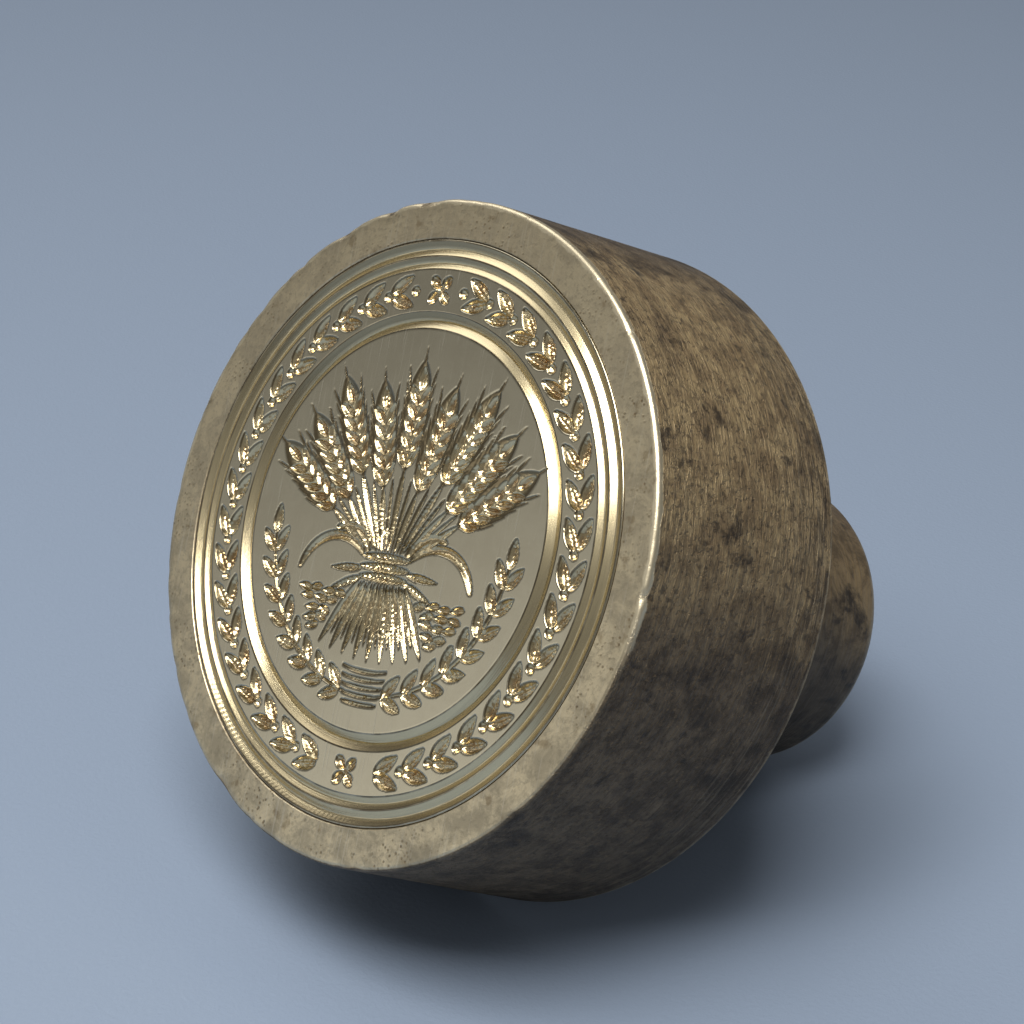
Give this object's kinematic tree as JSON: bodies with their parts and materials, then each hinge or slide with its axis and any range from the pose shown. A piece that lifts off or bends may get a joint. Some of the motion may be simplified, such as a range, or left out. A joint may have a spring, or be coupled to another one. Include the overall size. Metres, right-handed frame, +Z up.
{
  "type": "desk seal",
  "caption": "Round steel desk seal: an engraved die seated in a plain drum on a stout shank, held by a slotted draw bolt.",
  "frame": {"origin": "centre of the shank's end face, at the bottom of the object's box, on the surface that it stands on", "axes": "+Z up the axis from the shank's end to the engraved face, +Y the upright of the engraving, +X its right-hand side"},
  "size_m": [0.0526, 0.0526, 0.0468],
  "materials": {
    "drum_steel": "turned steel with a brown patina, dull and mottled",
    "die_steel": "bright steel, satin to polished, with fine scratches",
    "shank_steel": "turned steel with a smooth dark brown patina",
    "bolt_steel": "oiled steel",
    "washer_steel": "plain steel",
    "spring_steel": "dark spring steel",
    "pin_steel": "ground steel"
  },
  "bodies": {
    "holder": {"drum": "drum_steel", "shank": "shank_steel", "register_pin": "pin_steel", "drive_pins": "pin_steel"},
    "die": {"seal_die": "die_steel"},
    "washers": {"plain_washer": "washer_steel", "lock_washer": "spring_steel"},
    "bolt": {"draw_bolt": "bolt_steel"}
  },
  "joints": [
    {"name": "die_lift", "type": "slide", "parent": "holder", "child": "die", "axis": [0, 0, 1], "range_m": [0, 0.012]},
    {"name": "bolt_travel", "type": "slide", "parent": "holder", "child": "washers", "axis": [0, 0, -1], "range_m": [0, 0.006]},
    {"name": "bolt_turn", "type": "hinge", "parent": "washers", "child": "bolt", "pos_m": [0, 0, 0.005], "axis": [0, 0, -1], "range_deg": [0, 2160]}
  ],
  "couplings": [
    {"joint": "bolt_turn", "follows": "bolt_travel", "rad_per_m": 6283.2}
  ]
}
